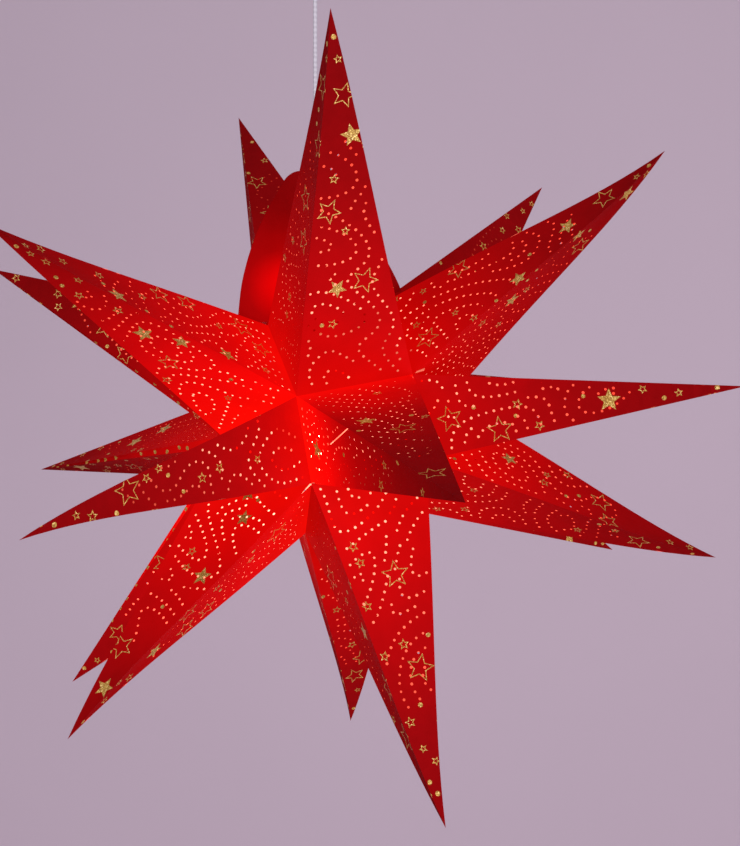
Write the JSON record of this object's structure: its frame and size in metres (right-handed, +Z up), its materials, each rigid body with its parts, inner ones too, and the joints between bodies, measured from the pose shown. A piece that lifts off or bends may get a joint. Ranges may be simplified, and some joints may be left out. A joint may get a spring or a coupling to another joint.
{
  "type": "folded paper star lantern",
  "caption": "Hanging folded paper star lantern with long hollow perforated points, glitter star print, plain closing leaves and a lamp inside.",
  "frame": {"origin": "in the ceiling plane, midway between the two screw holes of the ceiling bracket, on the cable's line", "axes": "+Z up along the cable, -Y towards the front of the star, +X to its right"},
  "size_m": [0.5243, 0.5797, 0.6238],
  "materials": {
    "star_paper": "matte",
    "leaf_paper": "matte",
    "touch_fastener": "matte",
    "card_bar": "matte",
    "white_plastic": "matte",
    "brass": "satin",
    "nickel": "satin",
    "clear_glass": "gloss",
    "glow_rods": "matte",
    "clear_cable": "satin",
    "gloss_white": "gloss",
    "steel": "satin"
  },
  "bodies": {
    "ceiling": {"cable": "clear_cable", "ceiling_cup": "gloss_white", "ceiling_bracket": "steel", "threaded_tube": "steel", "ceiling_cord_grip": "white_plastic", "tube_nut": "steel", "terminal_block": "white_plastic"},
    "star_front": {"point_1_left": "star_paper", "point_1_middle": "star_paper", "point_1_right": "star_paper", "point_2_left": "star_paper", "point_2_middle": "star_paper", "point_2_right": "star_paper", "point_3_left": "star_paper", "point_3_middle": "star_paper", "point_3_right": "star_paper", "glued_fold_1": "star_paper", "glued_fold_2": "star_paper", "glued_fold_3": "star_paper", "closing_leaf_front": "leaf_paper", "closing_dots_front": "touch_fastener", "carrier_bar": "card_bar", "holder_cord_grip": "white_plastic", "holder_cap": "white_plastic", "holder_barrel": "white_plastic", "holder_insert": "white_plastic", "holder_screw_shell": "brass", "holder_contact": "brass"},
    "star_back": {"point_4_left": "star_paper", "point_4_middle": "star_paper", "point_4_right": "star_paper", "point_5_left": "star_paper", "point_5_middle": "star_paper", "point_5_right": "star_paper", "point_6_left": "star_paper", "point_6_middle": "star_paper", "point_6_right": "star_paper", "glued_fold_4": "star_paper", "glued_fold_5": "star_paper", "closing_leaf_back": "leaf_paper", "closing_dots_back": "touch_fastener"},
    "bulb_end": {"bulb_tip": "brass"},
    "bulb": {"bulb_screw_cap": "nickel", "bulb_glass": "clear_glass", "bulb_stem": "clear_glass", "bulb_filaments": "glow_rods"}
  },
  "joints": [
    {"name": "star_turn", "type": "hinge", "parent": "ceiling", "child": "star_front", "pos_m": [0, 0, -0.1], "axis": [0, 0, 1], "range_deg": [-180, 180]},
    {"name": "star_open", "type": "hinge", "parent": "star_front", "child": "star_back", "pos_m": [0.03208, 0.00057, -0.43852], "axis": [-0.9633, -0.2048, -0.1736], "range_deg": [0, 25]},
    {"name": "bulb_travel", "type": "slide", "parent": "star_front", "child": "bulb_end", "axis": [0, 0, -1], "range_m": [0, 0.00846]},
    {"name": "bulb_turn", "type": "hinge", "parent": "bulb_end", "child": "bulb", "pos_m": [0, 0, -0.36], "axis": [0, 0, -1], "range_deg": [0, 1080]}
  ],
  "couplings": [
    {"joint": "bulb_travel", "follows": "bulb_turn", "m_per_rad": 0.00044882}
  ]
}
